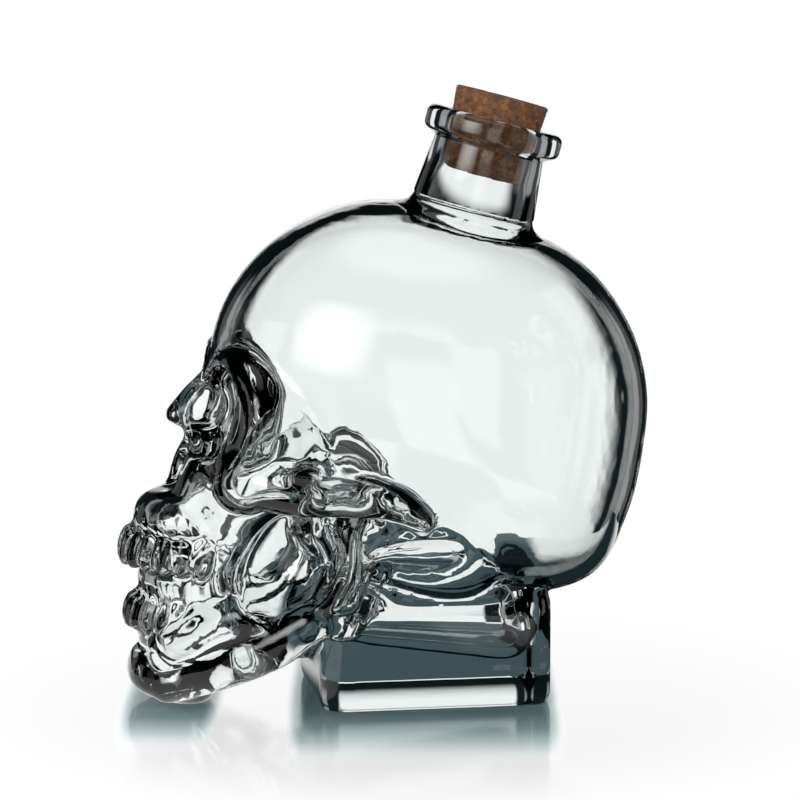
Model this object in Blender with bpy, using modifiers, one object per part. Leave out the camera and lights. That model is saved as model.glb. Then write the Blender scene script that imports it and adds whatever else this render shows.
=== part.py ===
"""A glass carafe blown in the form of a human skull, with a tapered cork stopper.

Metres, +Z up. The origin is the centre of the foot's flat underside. The face looks along -Y and the
skull's left side is at +X. The bottle stands on its block foot and on its chin, and leans back by
SKULL_TILT, so that the neck and the stopper share one axis that leans towards +Y.

Two pieces: glass_bottle, one blown shell of glass, and cork_stopper, which pulls out along the neck.
"""

import math

import bmesh
import bpy
from mathutils import Euler, Matrix, Vector

# The skull, in its own frame: centre of the cranium, face along -Y, crown along +Z
SKULL_LENGTH = 0.139
SKULL_WIDTH = 0.106
SKULL_HEIGHT = 0.113
SKULL_TILT = math.radians(15)
SKULL_SETBACK = 0.0003

# The glass
GLASS_WALL = 0.0038
FACE_WALL = 0.0052
FOOT_FLOOR = 0.011
GLASS_GRAIN = 0.0011
CAVITY_GRAIN = 0.002
SOFTENING_STEPS = 3
OUTER_TRIANGLES = 8200
CAVITY_TRIANGLES = 1700

# The block foot under the skull
FOOT_LENGTH = 0.072
FOOT_WIDTH = 0.060
FOOT_HEIGHT = 0.038
FOOT_ROUNDING = 0.008
FOOT_CAVITY_ROUNDING = 0.010
FOOT_FLOOR_RISE = 0.009

# The neck, its lip and its bore
NECK_TOP_RADIUS = 0.0172
NECK_FOOT_RADIUS = 0.0192
NECK_SPREAD = 0.0045
SKIRT_INSET = 0.0004
NECK_HEIGHT = 0.0235
NECK_SETBACK = -0.0004
LIP_RADIUS = 0.0214
LIP_HEIGHT = 0.008
LIP_ROUNDING = 0.0026
MOUTH_ROUNDING = 0.0012
BORE_RADIUS = 0.0142

# The cork
CORK_LENGTH = 0.0235
CORK_PROUD = 0.0073
CORK_TAPER_SHARE = 0.094
CORK_CHAMFER = 0.0006
SEAT_CLEARANCE = 0.0003

# The teeth, from the middle to the last molar
TOOTH_WIDTHS = (0.0059, 0.0052, 0.0056, 0.0054, 0.0056, 0.0068, 0.0066)
UPPER_TOOTH_HEIGHT = 0.0125
LOWER_TOOTH_HEIGHT = 0.0115
TOOTH_THICKNESS = 0.0070
UPPER_ARCH_WIDTH = 0.044
LOWER_ARCH_WIDTH = 0.036

# A small overrun for cuts, how near points are one, the steps of round forms, and from which angle an edge
# is sharp
OVERRUN = 0.001
MERGE_DISTANCE = 0.00001
TURN_STEPS = 48
ARC_STEPS = 4
ARCH_STEP = math.radians(0.5)
SHARP_EDGE = math.radians(38)

HALF_LENGTH = SKULL_LENGTH / 2
HALF_WIDTH = SKULL_WIDTH / 2
HALF_HEIGHT = SKULL_HEIGHT / 2

# The cranium's outline in the sagittal plane, every 20 degrees from the forehead over the crown to the
# occiput and back underneath, as shares of half the skull's length and height
CRANIUM_SHARES = (
    (0.981, 1.005, 1.035, 1.060, 1.035, 1.035)
    + (1.057, 1.035, 1.008, 1.003, 1.075, 1.190)
    + (1.100, 0.900, 0.840, 0.830, 0.865, 0.945)
)
PARIETAL_SHARE = 0.14
SQUARING = 0.92

# The dental arches are half ellipses: their depth as a share of their width, how far they rise to the
# back for each length, and where the front tooth's centre lies
ARCH_DEPTH_SHARE = 0.68
ARCH_RISE_SHARE = 0.22
UPPER_TEETH_SHARES = (-1.118, -1.19)
LOWER_TEETH_SHARES = (-1.025, -1.53)
LOWER_TOOTH_SHARE = 0.82
TOOTH_SWELL_SHARE = 0.5
TOOTH_SQUARING = 0.82

# The well joins the foot's hollow to the skull's: its width, front and back as shares of the foot's, and
# its top as a share of half the skull's height, under the cranium's centre
WELL_WIDTH_SHARE = 0.73
WELL_FRONT_SHARE = -0.50
WELL_BACK_SHARE = 0.78
WELL_TOP_SHARE = 0.72

# Each solid form: centre and half sizes, as shares of half the skull's width, length and height, and how
# square it is (1 is round). A form off the middle is made on both sides
FACE_SHARES = (
    ((0.0, -0.66, -0.36), (0.80, 0.345, 0.43), 0.75),
    ((0.0, -0.67, -0.75), (0.56, 0.345, 0.35), 0.80),
    ((0.0, -0.785, -1.00), (0.41, 0.345, 0.185), 0.78),
    ((0.0, -0.76, -1.31), (0.335, 0.285, 0.20), 0.80),
    ((0.0, -0.70, -1.56), (0.36, 0.29, 0.26), 0.80),
    ((0.0, -0.47, -1.20), (0.56, 0.45, 0.40), 0.82),
    ((0.0, 0.12, -0.68), (0.77, 0.42, 0.40), 0.75),
)
SOLID_SHARES = (
    ((0.0, -0.785, -1.823), (0.30, 0.20, 0.15), 0.72),
    ((0.0, -0.88, -0.40), (0.17, 0.17, 0.26), 0.90),
    ((0.62, -0.755, -0.60), (0.22, 0.145, 0.20), 0.90),
    ((0.65, -0.21, -0.97), (0.14, 0.15, 0.38), 0.75),
)

# Each bone ridge: the points that it passes, each with its thickness as a share of half the width
BROW_SHARES = (
    ((0.00, -0.880, -0.17), 0.130),
    ((0.24, -0.880, -0.11), 0.140),
    ((0.48, -0.860, -0.08), 0.125),
    ((0.68, -0.800, -0.15), 0.100),
    ((0.76, -0.760, -0.34), 0.090),
    ((0.73, -0.760, -0.54), 0.110),
)
NOSE_SHARES = (
    ((0.0, -0.92, -0.21), 0.110),
    ((0.0, -0.99, -0.34), 0.105),
    ((0.0, -1.045, -0.44), 0.085),
)
CHEEK_SHARES = (
    ((0.70, -0.74, -0.60), 0.155),
    ((0.82, -0.56, -0.60), 0.130),
    ((0.865, -0.34, -0.550), 0.115),
    ((0.860, -0.12, -0.545), 0.090),
    ((0.830, 0.02, -0.60), 0.055),
)
JAW_RIM_SHARES = (
    ((0.19, -0.81, -1.84), 0.135),
    ((0.41, -0.66, -1.68), 0.140),
    ((0.58, -0.48, -1.49), 0.135),
    ((0.66, -0.33, -1.29), 0.125),
)
JAW_BODY_SHARES = (
    ((0.26, -0.84, -1.66), 0.150),
    ((0.45, -0.69, -1.45), 0.150),
    ((0.58, -0.52, -1.29), 0.130),
    ((0.66, -0.36, -1.15), 0.110),
)

# Each hollow: centre and half sizes, in the same shares, how square it is, and its turns about X and Z
HOLLOW_SHARES = (
    ((0.41, -1.00, -0.345), (0.285, 0.28, 0.262), 0.85, 0, 20),
    ((0.0, -1.06, -0.69), (0.18, 0.17, 0.16), 0.90, 0, 0),
    ((0.0, -1.06, -0.61), (0.11, 0.16, 0.13), 0.90, 0, 0),
    ((1.28, -0.55, -0.24), (0.495, 0.20, 0.40), 0.95, 0, 0),
    ((0.76, -0.49, -1.02), (0.46, 0.19, 0.33), 0.85, -20, 0),
    ((0.87, 0.04, -0.79), (0.20, 0.25, 0.095), 0.90, 19, 0),
)


def outline_share(degrees):
    """The cranium's outline at an angle from the forehead, on a smooth closed line through its shares."""
    count = len(CRANIUM_SHARES)
    place = degrees / 360 * count
    step = math.floor(place)
    t = place - step
    before, start, end, after = (CRANIUM_SHARES[(step + i) % count] for i in (-1, 0, 1, 2))
    return (
        start
        + t * (end - before) / 2
        + t * t * (2 * before - 5 * start + 4 * end - after) / 2
        + t * t * t * (3 * start - before - 3 * end + after) / 2
    )


def share_place(shares, side=1):
    """A point of the skull's frame from shares of half its width, length and height."""
    return Vector((side * shares[0] * HALF_WIDTH, shares[1] * HALF_LENGTH, shares[2] * HALF_HEIGHT))


def sides_of(shares):
    """Both sides for a form off the middle plane, one for a form on it."""
    return (1, -1) if shares[0] else (1,)


def add_blob(form, centre, half_sizes, square=1, turn=(0, 0, 0), steps=28):
    """Adds a closed ellipsoid to a form, or a squarer one for a lower power."""
    blob = bmesh.new()
    bmesh.ops.create_uvsphere(blob, u_segments=steps, v_segments=steps // 2, radius=1)
    for vertex in blob.verts:
        vertex.co = [math.copysign(abs(part) ** square, part) for part in vertex.co]
    blob.transform(Matrix.LocRotScale(centre, Euler(turn), Vector(half_sizes)))
    mesh = bpy.data.meshes.new("blob")
    blob.to_mesh(mesh)
    blob.free()
    form.from_mesh(mesh)
    bpy.data.meshes.remove(mesh)


def add_ridge(form, points, radii, steps=12):
    """Adds a closed tube of changing thickness that follows a smooth line, with rounded ends."""
    curve = bpy.data.curves.new("ridge", "CURVE")
    curve.dimensions = "3D"
    curve.bevel_depth = 1
    curve.bevel_resolution = 4
    curve.resolution_u = steps
    curve.use_fill_caps = True
    line = curve.splines.new("BEZIER")
    line.bezier_points.add(len(points) - 1)
    for knot, point, radius in zip(line.bezier_points, points, radii):
        knot.co = point
        knot.radius = radius
        knot.handle_left_type = knot.handle_right_type = "AUTO"
    guide = bpy.data.objects.new("ridge", curve)
    bpy.context.scene.collection.objects.link(guide)
    bpy.context.view_layer.update()
    mesh = bpy.data.meshes.new_from_object(guide.evaluated_get(bpy.context.evaluated_depsgraph_get()))
    form.from_mesh(mesh)
    bpy.data.objects.remove(guide)
    bpy.data.meshes.remove(mesh)
    for end in (0, -1):
        add_blob(form, points[end], (radii[end],) * 3, steps=16)


def add_cranium(form, inset):
    """Adds the braincase: a sphere with its poles at the ears, drawn out to the sagittal outline."""
    made = bmesh.ops.create_uvsphere(form, u_segments=72, v_segments=48, radius=1)
    for vertex in made["verts"]:
        forward, up, across = vertex.co
        spread = math.hypot(forward, up)
        angle = math.atan2(up, forward)
        share = outline_share(math.degrees(angle) % 360)
        reach = Vector((-HALF_LENGTH * math.cos(angle), HALF_HEIGHT * math.sin(angle))) * share
        reach -= reach.normalized() * inset
        reach *= spread**SQUARING
        width = math.copysign(abs(across) ** SQUARING, across) * (HALF_WIDTH - inset)
        shift = PARIETAL_SHARE * HALF_LENGTH * across * across
        vertex.co = (width, reach.x + shift, reach.y)


def add_blobs(form, table, inset=0):
    """Adds each solid form of a table of shares, on both sides where it is off the middle."""
    for centre, sizes, square in table:
        for side in sides_of(centre):
            half_sizes = share_place(sizes) - Vector((inset,) * 3)
            add_blob(form, share_place(centre, side), half_sizes, square)


def add_ridges(form, table):
    """Adds a bone ridge on each side, or one in the middle."""
    for side in sides_of(table[-1][0]):
        points = [share_place(shares, side) for shares, radius_share in table]
        add_ridge(form, points, [radius_share * HALF_WIDTH for shares, radius_share in table])


def add_teeth(form, arch_width, front_share, height_share, tooth_height, smaller):
    """Adds one row of teeth along half an ellipse, from the middle to the molars on both sides."""
    arch_depth = arch_width * ARCH_DEPTH_SHARE
    front = front_share * HALF_LENGTH
    height = height_share * HALF_HEIGHT
    run = 0
    for width in TOOTH_WIDTHS:
        width *= smaller
        swing = arch_swing(run + width / 2, arch_width / 2, arch_depth)
        run += width
        for side in (1, -1):
            back = (1 - math.cos(swing)) * arch_depth
            rise = back * ARCH_RISE_SHARE
            centre = Vector((side * math.sin(swing) * arch_width / 2, front + back, height + rise))
            facing = math.atan2(math.sin(swing) / arch_width * 2, math.cos(swing) / arch_depth)
            half_sizes = (width * TOOTH_SWELL_SHARE, TOOTH_THICKNESS / 2, tooth_height / 2)
            add_blob(form, centre, half_sizes, TOOTH_SQUARING, (0, 0, side * facing), steps=20)


def arch_swing(run, half_width, depth):
    """The ellipse angle at which the arch is run long from its middle."""
    swing, travelled = 0, 0
    while travelled < run:
        travelled += math.hypot(half_width * math.cos(swing), depth * math.sin(swing)) * ARCH_STEP
        swing += ARCH_STEP
    return swing


def new_object(name, form, collection):
    """An object with its mesh from a bmesh form, which is freed."""
    mesh = bpy.data.meshes.new(name)
    form.to_mesh(mesh)
    form.free()
    obj = bpy.data.objects.new(name, mesh)
    collection.objects.link(obj)
    return obj


def skull_place():
    """The matrix from the skull's frame to the world, with the chin just touching the ground."""
    lean = Matrix.Rotation(-SKULL_TILT, 4, "X")
    chin = lean @ share_place(SOLID_SHARES[0][0])
    sizes = share_place(SOLID_SHARES[0][1])
    drop = math.hypot(sizes.y * math.sin(SKULL_TILT), sizes.z * math.cos(SKULL_TILT))
    return Matrix.Translation((0, SKULL_SETBACK, drop - chin.z - OVERRUN)) @ lean


def baked(obj):
    """Replaces an object's mesh by what its modifiers make of it."""
    bpy.context.view_layer.update()
    mesh = bpy.data.meshes.new_from_object(obj.evaluated_get(bpy.context.evaluated_depsgraph_get()))
    obj.modifiers.clear()
    obj.data = mesh
    return obj


def fused(obj, grain, hollows):
    """Fuses the overlapping forms of an object into one skin, sinks the hollows and softens it as glass."""
    for name in ("fuse", "sink", "fuse_again"):
        if name == "sink":
            sink = obj.modifiers.new(name, "BOOLEAN")
            sink.operation = "DIFFERENCE"
            sink.operand_type = "COLLECTION"
            sink.collection = hollows
        else:
            skin = obj.modifiers.new(name, "REMESH")
            skin.mode = "VOXEL"
            skin.voxel_size = grain
    soften = obj.modifiers.new("soften", "SMOOTH")
    soften.factor = 0.5
    soften.iterations = SOFTENING_STEPS
    return baked(obj)


def thinned(obj, triangles):
    """Keeps the facets where the form curves and drops them where it is plain."""
    tris = obj.modifiers.new("triangles", "TRIANGULATE")
    tris.quad_method = "BEAUTY"
    baked(obj)
    thin = obj.modifiers.new("thin", "DECIMATE")
    thin.ratio = min(1, triangles / len(obj.data.polygons))
    return baked(obj)


def arc(centre_r, centre_z, radius, start, end, steps=ARC_STEPS):
    """Points of an arc in a turned profile, with its angles in degrees."""
    turn = [math.radians(start + (end - start) * i / steps) for i in range(steps + 1)]
    return [(centre_r + radius * math.cos(a), centre_z + radius * math.sin(a)) for a in turn]


def turned(name, profile, collection):
    """A solid of revolution about its own Z from a profile that runs down its outer side."""
    form = bmesh.new()
    knots = [form.verts.new((r, 0, z)) for r, z in profile]
    for start, end in zip(knots, knots[1:]):
        form.edges.new((start, end))
    obj = new_object(name, form, collection)
    screw = obj.modifiers.new("turn", "SCREW")
    screw.steps = screw.render_steps = TURN_STEPS
    screw.use_merge_vertices = True
    screw.merge_threshold = MERGE_DISTANCE
    screw.use_smooth_shade = False
    return baked(obj)


def rounded_block(name, half_sizes, centre, rounding, collection):
    """A block with all its edges rounded."""
    form = bmesh.new()
    bmesh.ops.create_cube(form, size=2, matrix=Matrix.LocRotScale(centre, None, Vector(half_sizes)))
    obj = new_object(name, form, collection)
    soft = obj.modifiers.new("round", "BEVEL")
    soft.width = rounding
    soft.segments = ARC_STEPS
    return baked(obj)


def joined(form, obj):
    """Moves an object's mesh into a form and removes the object."""
    bpy.context.view_layer.update()
    obj.data.transform(obj.matrix_world)
    form.from_mesh(obj.data)
    bpy.data.objects.remove(obj)


def cut(obj, other, operation):
    """Joins another solid to an object or takes it away, and removes it."""
    join = obj.modifiers.new("cut", "BOOLEAN")
    join.operation = operation
    join.object = other
    baked(obj)
    bpy.data.objects.remove(other)


def add_foot_cavity(form, lean, helpers):
    """Adds the foot's hollow, whose floor rises to the front, and the well between it and the skull's."""
    half_width, half_length = FOOT_WIDTH / 2, FOOT_LENGTH / 2
    slab_top = FOOT_HEIGHT - FACE_WALL
    half_sizes = (half_width - FACE_WALL, half_length - FACE_WALL, (slab_top - FOOT_FLOOR) / 2)
    centre = (0, 0, (slab_top + FOOT_FLOOR) / 2)
    slab = rounded_block("slab", half_sizes, centre, FOOT_CAVITY_ROUNDING, helpers)
    for vertex in slab.data.vertices:
        depth = (slab_top - vertex.co.z) / (slab_top - FOOT_FLOOR)
        to_the_front = 0.5 - vertex.co.y / (2 * half_sizes[1])
        vertex.co.z += FOOT_FLOOR_RISE * depth * to_the_front
    joined(form, slab)
    front, back = WELL_FRONT_SHARE * half_length, WELL_BACK_SHARE * half_length
    top = lean.translation.z - WELL_TOP_SHARE * HALF_HEIGHT
    low = FOOT_FLOOR + FOOT_FLOOR_RISE
    half_sizes = (WELL_WIDTH_SHARE * half_width, (back - front) / 2, (top - low) / 2)
    centre = (0, (back + front) / 2, (top + low) / 2)
    joined(form, rounded_block("well", half_sizes, centre, FOOT_CAVITY_ROUNDING, helpers))


def skull_form(lean, neck_axis, helpers):
    """The outer form before its hollows: braincase, face, jaw, teeth and foot, still overlapping."""
    form = bmesh.new()
    add_cranium(form, 0)
    add_blobs(form, FACE_SHARES + SOLID_SHARES)
    for table in (BROW_SHARES, NOSE_SHARES, CHEEK_SHARES, JAW_RIM_SHARES, JAW_BODY_SHARES):
        add_ridges(form, table)
    add_teeth(form, UPPER_ARCH_WIDTH, *UPPER_TEETH_SHARES, UPPER_TOOTH_HEIGHT, 1)
    add_teeth(form, LOWER_ARCH_WIDTH, *LOWER_TEETH_SHARES, LOWER_TOOTH_HEIGHT, LOWER_TOOTH_SHARE)
    form.transform(lean)
    half_sizes = (FOOT_WIDTH / 2, FOOT_LENGTH / 2, (FOOT_HEIGHT + FOOT_ROUNDING) / 2)
    centre = (0, 0, (FOOT_HEIGHT - FOOT_ROUNDING) / 2)
    joined(form, rounded_block("foot", half_sizes, centre, FOOT_ROUNDING, helpers))
    skirt = neck_skirt(helpers)
    skirt.matrix_world = neck_axis
    joined(form, skirt)
    return form


def add_hollows(lean, collection, outset):
    """The forms that sink the orbits, nose, temples, cheeks and mastoids."""
    for centre, sizes, square, pitch, yaw in HOLLOW_SHARES:
        for side in sides_of(centre):
            form = bmesh.new()
            half_sizes = share_place(sizes) + Vector((outset,) * 3)
            turn = (math.radians(pitch), 0, side * math.radians(yaw))
            add_blob(form, share_place(centre, side), half_sizes, square, turn)
            form.transform(lean)
            new_object("hollow", form, collection).display_type = "WIRE"


def cavity_form(lean, helpers):
    """The hollow inside the glass: braincase, face and foot, each inside its wall."""
    form = bmesh.new()
    add_cranium(form, GLASS_WALL)
    add_blobs(form, FACE_SHARES, FACE_WALL)
    form.transform(lean)
    add_foot_cavity(form, lean, helpers)
    return form


def neck_skirt(collection):
    """The flare at the neck's foot, which melts into the crown."""
    shoulder = lip_top_height() - LIP_HEIGHT - NECK_HEIGHT
    inner = NECK_FOOT_RADIUS - SKIRT_INSET
    profile = [(0, shoulder + 2 * NECK_SPREAD), (inner, shoulder + 2 * NECK_SPREAD)]
    profile += arc(inner + NECK_SPREAD, shoulder + NECK_SPREAD, NECK_SPREAD, 180, 265)
    profile += [(inner + NECK_SPREAD, shoulder - NECK_SPREAD), (0, shoulder - NECK_SPREAD)]
    return turned("neck_skirt", profile, collection)


def neck_solid(collection):
    """Neck and lip as one turned solid in the neck's own frame, whose origin is the cranium's centre."""
    lip_top = lip_top_height()
    lip_foot = lip_top - LIP_HEIGHT
    shoulder = lip_foot - NECK_HEIGHT
    bead = LIP_RADIUS - LIP_ROUNDING
    profile = [(0, lip_top)]
    profile += arc(bead, lip_top - LIP_ROUNDING, LIP_ROUNDING, 90, 0)
    profile += arc(bead, lip_foot + LIP_ROUNDING, LIP_ROUNDING, 0, -80)
    profile += [(NECK_TOP_RADIUS, lip_foot - LIP_ROUNDING / 2)]
    profile += [(NECK_FOOT_RADIUS, shoulder + NECK_SPREAD)]
    profile += [(NECK_FOOT_RADIUS - NECK_SPREAD, shoulder - NECK_SPREAD), (0, shoulder - NECK_SPREAD)]
    return turned("neck", profile, collection)


def lip_top_height():
    """Height of the lip's top over the cranium's centre, along the neck."""
    crown = outline_share(90) * HALF_HEIGHT
    return crown + NECK_HEIGHT + LIP_HEIGHT - NECK_SPREAD / 2


def bore_solid(collection):
    """The way in through the neck, as a cutter with a rounded mouth."""
    top = lip_top_height()
    profile = [(0, top + OVERRUN), (BORE_RADIUS + MOUTH_ROUNDING, top + OVERRUN)]
    profile += arc(BORE_RADIUS + MOUTH_ROUNDING, top - MOUTH_ROUNDING, MOUTH_ROUNDING, 90, 180)
    profile += [(BORE_RADIUS, top - LIP_HEIGHT - NECK_HEIGHT - 3 * GLASS_WALL)]
    profile += [(0, top - LIP_HEIGHT - NECK_HEIGHT - 3 * GLASS_WALL)]
    return turned("bore", profile, collection)


def cork_solid(neck_axis, collection):
    """The stopper: a tapered plug that wedges in the mouth, with broken edges at both ends."""
    seat = BORE_RADIUS - SEAT_CLEARANCE
    top_radius = seat + CORK_PROUD * CORK_TAPER_SHARE
    foot_radius = top_radius - CORK_LENGTH * CORK_TAPER_SHARE
    profile = [(0, 0), (top_radius - CORK_CHAMFER, 0), (top_radius, -CORK_CHAMFER)]
    profile += [(foot_radius, CORK_CHAMFER - CORK_LENGTH), (foot_radius - CORK_CHAMFER, -CORK_LENGTH)]
    profile += [(0, -CORK_LENGTH)]
    cork = turned("cork_stopper", profile, collection)
    cork.matrix_world = neck_axis @ Matrix.Translation((0, 0, lip_top_height() + CORK_PROUD))
    return cork


def glass_bottle(lean, neck_axis, parts, helpers, hollows):
    """One blown shell: the skull's skin with the neck on it, less the cavity, the bore and the ground."""
    add_hollows(lean, hollows, 0)
    bottle = new_object("glass_bottle", skull_form(lean, neck_axis, helpers), parts)
    fused(bottle, GLASS_GRAIN, hollows)
    thinned(bottle, OUTER_TRIANGLES)
    for obj in list(hollows.objects):
        bpy.data.objects.remove(obj)
    add_hollows(lean, hollows, GLASS_WALL)
    cavity = new_object("cavity", cavity_form(lean, helpers), helpers)
    fused(cavity, CAVITY_GRAIN, hollows)
    thinned(cavity, CAVITY_TRIANGLES)
    neck = neck_solid(helpers)
    bore = bore_solid(helpers)
    neck.matrix_world = bore.matrix_world = neck_axis
    cut(bottle, neck, "UNION")
    cut(cavity, bore, "UNION")
    cut(bottle, cavity, "DIFFERENCE")
    form = bmesh.new()
    half_sizes = Vector((SKULL_LENGTH, SKULL_LENGTH, SKULL_HEIGHT))
    bmesh.ops.create_cube(form, size=2, matrix=Matrix.LocRotScale((0, 0, -SKULL_HEIGHT), None, half_sizes))
    cut(bottle, new_object("ground", form, helpers), "DIFFERENCE")
    return bottle


def finished(obj, material_name, colour, roughness, transmission):
    """Gives a part its material, smooth where it is round and sharp at its edges."""
    material = bpy.data.materials.new(material_name)
    material.use_nodes = True
    shader = material.node_tree.nodes["Principled BSDF"]
    shader.inputs["Base Color"].default_value = (*colour, 1)
    shader.inputs["Roughness"].default_value = roughness
    shader.inputs["Transmission Weight"].default_value = transmission
    obj.data.materials.clear()
    obj.data.materials.append(material)
    obj.data.shade_smooth()
    obj.data.set_sharp_from_angle(angle=SHARP_EDGE)


def main():
    for obj in list(bpy.data.objects):
        bpy.data.objects.remove(obj)
    parts = bpy.data.collections.new("skull_carafe")
    helpers = bpy.data.collections.new("helpers")
    hollows = bpy.data.collections.new("cutters")
    for collection in (parts, helpers, hollows):
        bpy.context.scene.collection.children.link(collection)
    hollows.hide_render = True
    lean = skull_place()
    neck_axis = lean @ Matrix.Translation((0, NECK_SETBACK, 0))
    bottle = glass_bottle(lean, neck_axis, parts, helpers, hollows)
    cork = cork_solid(neck_axis, parts)
    finished(bottle, "clear_glass", (0.80, 0.87, 0.87), 0.02, 1)
    finished(cork, "natural_cork", (0.36, 0.20, 0.11), 0.85, 0)
    bpy.data.collections.remove(helpers)


main()
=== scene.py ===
"""The looks of a skull carafe: mould-blown clear glass with an agglomerated cork, on a white table.

Metres, +Z up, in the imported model's own frame. The face looks along -Y, the skull's left side is at +X and
the origin is the centre of the foot's flat underside.
"""

import math

import bmesh
import bpy
from mathutils import Euler, Matrix, Vector


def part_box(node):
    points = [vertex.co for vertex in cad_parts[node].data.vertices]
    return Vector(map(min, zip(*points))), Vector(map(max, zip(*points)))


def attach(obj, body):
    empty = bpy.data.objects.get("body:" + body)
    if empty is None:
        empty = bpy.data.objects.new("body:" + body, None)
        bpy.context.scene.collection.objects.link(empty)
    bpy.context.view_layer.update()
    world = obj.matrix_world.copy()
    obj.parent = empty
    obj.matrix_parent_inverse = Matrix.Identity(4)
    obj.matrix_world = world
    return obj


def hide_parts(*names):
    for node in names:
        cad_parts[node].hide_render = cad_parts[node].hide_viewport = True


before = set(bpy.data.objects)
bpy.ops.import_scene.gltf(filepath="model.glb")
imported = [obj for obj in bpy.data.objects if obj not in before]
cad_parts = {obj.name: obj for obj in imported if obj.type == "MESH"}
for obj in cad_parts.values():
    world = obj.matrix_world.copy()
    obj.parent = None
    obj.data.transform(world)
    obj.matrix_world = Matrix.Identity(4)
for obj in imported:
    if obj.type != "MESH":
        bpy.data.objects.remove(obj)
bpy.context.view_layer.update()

# The skull, in its own frame: centre of the cranium, face along -Y, crown along +Z
SKULL_LENGTH = 0.139
SKULL_WIDTH = 0.106
SKULL_HEIGHT = 0.113
SKULL_TILT = math.radians(15)
SKULL_SETBACK = 0.0003

# The glass: how deep under its skin the hollow lies, the narrowest stretch of the hollow that stays open,
# the grain that forms are fused at, how long each skin flows smooth, and the share of facets that is kept
GLASS_WALL = 0.0038
NARROWEST_CHANNEL = 0.0024
OUTER_GRAIN = 0.00105
CAVITY_GRAIN = 0.0017
SKULL_SOFTENING = 8
OUTER_SOFTENING = 3
CAVITY_SOFTENING = 14
KEPT_FACET_SHARE = 0.58

# The block foot under the skull, and how much of its rounded block is sunk in the ground that cuts it. The
# floor of its hollow rises to the front
FOOT_LENGTH = 0.072
FOOT_WIDTH = 0.060
FOOT_HEIGHT = 0.038
FOOT_ROUNDING = 0.008
FOOT_SUNK = 0.0045
FOOT_WALL = 0.0052
FOOT_FLOOR = 0.011
FOOT_CAVITY_ROUNDING = 0.010
FOOT_FLOOR_RISE = 0.009

# The well joins the foot's hollow to the skull's: its width, front and back as shares of the foot's, and
# its top as a share of half the skull's height, under the cranium's centre
WELL_WIDTH_SHARE = 0.73
WELL_FRONT_SHARE = -0.50
WELL_BACK_SHARE = 0.78
WELL_TOP_SHARE = 0.72

# The neck, its lip and its bore
NECK_TOP_RADIUS = 0.0172
NECK_FOOT_RADIUS = 0.0192
NECK_SPREAD = 0.0045
SKIRT_INSET = 0.0004
NECK_HEIGHT = 0.0235
NECK_SETBACK = -0.0004
LIP_RADIUS = 0.0214
LIP_HEIGHT = 0.008
LIP_ROUNDING = 0.0026
MOUTH_ROUNDING = 0.0012
BORE_RADIUS = 0.0142
NECK_WALL = 0.0017

# The cork and the granules that it is pressed from: how deep and, as shares of a granule, how wide their
# seams are, in the form and in the colour, and the draws from which a granule crumbles until it is gone
CORK_LENGTH = 0.0235
CORK_PROUD = 0.0073
CORK_TAPER_SHARE = 0.094
CORK_CHAMFER = 0.0006
CORK_FACET = 0.0005
SEAT_CLEARANCE = 0.0003
CORK_GRANULE = 0.0017
CORK_SEAM_DEPTH = 0.00015
CORK_PIT_DEPTH = 0.0006
CORK_SEAM_SHARE = 0.12
CORK_STAIN_SHARE = 0.1
CRUMBLING_SHARES = (0.86, 0.9)
CORK_SEED = 4.0

# The teeth, from the middle to the last molar. Each row's front and height are shares of half the skull's
# length and height, and the arch's depth is a share of its width
TOOTH_WIDTHS = (0.0059, 0.0052, 0.0056, 0.0054, 0.0056, 0.0068, 0.0066)
UPPER_TOOTH_HEIGHT = 0.0125
LOWER_TOOTH_HEIGHT = 0.0115
TOOTH_THICKNESS = 0.0070
UPPER_ARCH_WIDTH = 0.044
LOWER_ARCH_WIDTH = 0.036
ARCH_DEPTH_SHARE = 0.68
ARCH_RISE_SHARE = 0.22
UPPER_TEETH_SHARES = (-1.118, -1.19)
LOWER_TEETH_SHARES = (-1.025, -1.53)
LOWER_TOOTH_SHARE = 0.82
TOOTH_SWELL_SHARE = 0.5
TOOTH_SQUARING = 0.82

# A small overrun for cuts, how near points are one, the steps of each round form, and from which angle an
# edge is sharp
OVERRUN = 0.001
MERGE_DISTANCE = 0.00001
TURN_STEPS = 144
ARC_STEPS = 8
CRANIUM_STEPS = 216
BLOB_STEPS = 128
RIDGE_ROUND_STEPS = 10
RIDGE_RUN_STEPS = 24
RIDGE_END_STEPS = 32
TOOTH_STEPS = 40
ARCH_STEP = math.radians(0.5)
SHARP_EDGE = math.radians(38)

HALF_LENGTH = SKULL_LENGTH / 2
HALF_WIDTH = SKULL_WIDTH / 2
HALF_HEIGHT = SKULL_HEIGHT / 2

# The cranium's outline in the sagittal plane, every 20 degrees from the forehead over the crown to the
# occiput and back underneath, as shares of half the skull's length and height
CRANIUM_SHARES = (
    (0.981, 1.005, 1.035, 1.060, 1.035, 1.035)
    + (1.057, 1.035, 1.008, 1.003, 1.075, 1.190)
    + (1.100, 0.900, 0.840, 0.830, 0.865, 0.945)
)
PARIETAL_SHARE = 0.14
SQUARING = 0.92

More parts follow.
